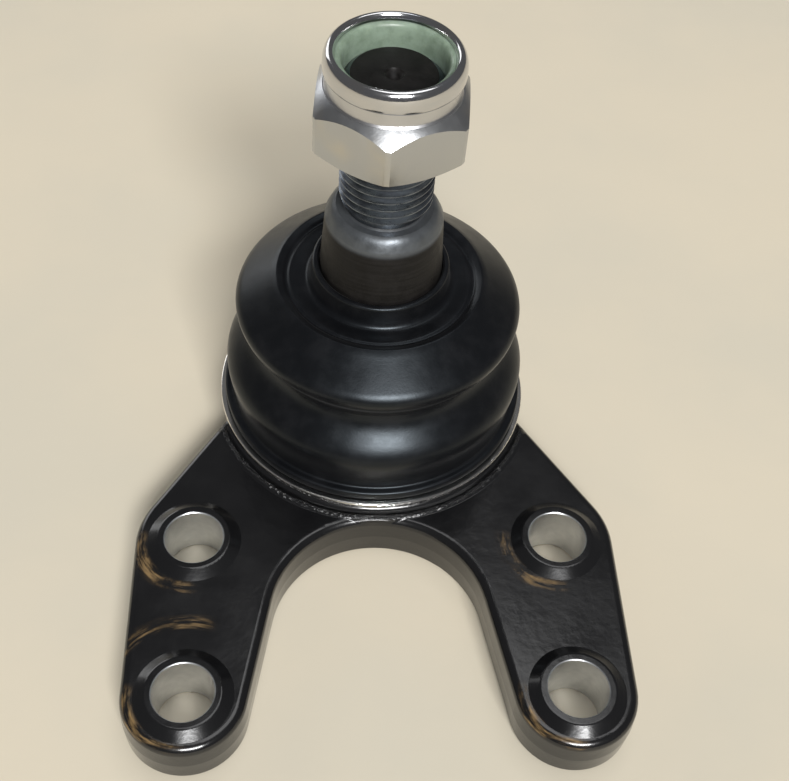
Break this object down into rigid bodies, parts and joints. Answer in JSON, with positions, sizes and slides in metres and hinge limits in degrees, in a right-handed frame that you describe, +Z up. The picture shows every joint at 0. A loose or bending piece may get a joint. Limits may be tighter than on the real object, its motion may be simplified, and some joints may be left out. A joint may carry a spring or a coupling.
{
  "type": "suspension ball joint",
  "caption": "Suspension ball joint: forged Y flange with bolt arms, tapered ball stud in a sealed socket, two-lobe rubber boot, nylon-insert lock nut.",
  "frame": {"origin": "centre of the four bolt holes, on the flange's flat underside", "axes": "+Z up along the stud at rest, the two bolt arms towards -Y, the stud's axis 51 mm towards +Y"},
  "size_m": [0.0876, 0.106, 0.09],
  "materials": {
    "black_paint": "glossy black paint over forging skin",
    "bearing_steel": "ground hardened steel",
    "zinc_plate": "bright zinc plate",
    "phosphate_steel": "dark phosphate",
    "stud_steel": "oiled dark steel",
    "boot_rubber": "satin black rubber",
    "seal_rubber": "black nitrile",
    "nylon": "pale translucent nylon"
  },
  "bodies": {
    "housing": {"housing_forging": "black_paint", "upper_seat": "bearing_steel", "lower_seat": "bearing_steel", "preload_spring": "bearing_steel", "bottom_cover": "zinc_plate", "cover_o_ring": "seal_rubber", "snap_ring": "phosphate_steel", "boot_ring": "zinc_plate"},
    "boot": {"dust_boot": "boot_rubber"},
    "boot_lip": {"boot_lip_ring": "phosphate_steel"},
    "stud": {"ball_stud": "stud_steel"},
    "nut_collar": {"nylon_insert": "nylon"},
    "nut": {"lock_nut": "zinc_plate"}
  },
  "joints": [
    {"name": "swing_fore_aft", "type": "hinge", "parent": "housing", "child": "boot", "pos_m": [0, 0.051, 0.02005], "axis": [1, 0, 0], "range_deg": [-18, 18], "deforming": ["dust_boot"]},
    {"name": "swing_side", "type": "hinge", "parent": "boot", "child": "boot_lip", "pos_m": [0, 0.051, 0.02005], "axis": [0, 1, 0], "range_deg": [-18, 18]},
    {"name": "stud_spin", "type": "hinge", "parent": "boot_lip", "child": "stud", "pos_m": [0, 0.051, 0.02005], "axis": [0, 0, 1], "continuous": true},
    {"name": "nut_travel", "type": "slide", "parent": "stud", "child": "nut_collar", "axis": [0, 0, 1], "range_m": [-0.0105, 0.0105]},
    {"name": "nut_turn", "type": "hinge", "parent": "nut_collar", "child": "nut", "pos_m": [0, 0.051, 0.02005], "axis": [0, 0, 1], "range_deg": [-2520, 2520]}
  ],
  "couplings": [
    {"joint": "nut_travel", "follows": "nut_turn", "m_per_rad": 0.00023873}
  ]
}
